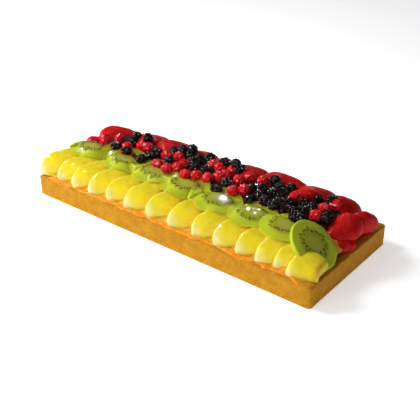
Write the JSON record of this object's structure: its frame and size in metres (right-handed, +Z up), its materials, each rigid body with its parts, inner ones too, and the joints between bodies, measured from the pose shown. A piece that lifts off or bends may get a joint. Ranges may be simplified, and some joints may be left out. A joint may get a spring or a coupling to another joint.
{
  "type": "mixed fruit tart",
  "caption": "Long rectangular fruit tart in a golden crust, with rows of pineapple, kiwi, mixed berries and strawberries under clear glaze.",
  "frame": {"origin": "middle of the crust's underside, on the surface that the tart stands on", "axes": "+X along the tart towards the end with the large strawberry, +Y from the pineapple row to the strawberry row, +Z up"},
  "size_m": [0.375, 0.15, 0.066],
  "materials": {
    "crust": "golden baked shortcrust, fine crumb",
    "custard": "set custard under glaze",
    "pineapple": "wet, glazed, fibrous",
    "kiwi": "wet, glazed, with seeds",
    "strawberry": "glazed, dimpled skin",
    "berries": "glazed raspberries and dark berries"
  },
  "bodies": {
    "root": {"crust": "crust", "custard": "custard", "pineapple_01": "pineapple", "pineapple_02": "pineapple", "pineapple_03": "pineapple", "pineapple_04": "pineapple", "pineapple_05": "pineapple", "pineapple_06": "pineapple", "pineapple_07": "pineapple", "pineapple_08": "pineapple", "pineapple_09": "pineapple", "pineapple_10": "pineapple", "pineapple_11": "pineapple", "pineapple_12": "pineapple", "pineapple_13": "pineapple", "pineapple_14": "pineapple", "kiwi_01": "kiwi", "kiwi_02": "kiwi", "kiwi_03": "kiwi", "kiwi_04": "kiwi", "kiwi_05": "kiwi", "kiwi_06": "kiwi", "kiwi_07": "kiwi", "kiwi_08": "kiwi", "strawberry_01": "strawberry", "strawberry_02": "strawberry", "strawberry_03": "strawberry", "strawberry_04": "strawberry", "strawberry_05": "strawberry", "strawberry_06": "strawberry", "strawberry_07": "strawberry", "strawberry_08": "strawberry", "strawberry_09": "strawberry", "strawberry_10": "strawberry", "strawberry_11": "strawberry", "strawberry_12": "strawberry", "strawberry_13": "strawberry", "strawberry_14": "strawberry", "berry_heap": "berries"}
  },
  "joints": []
}
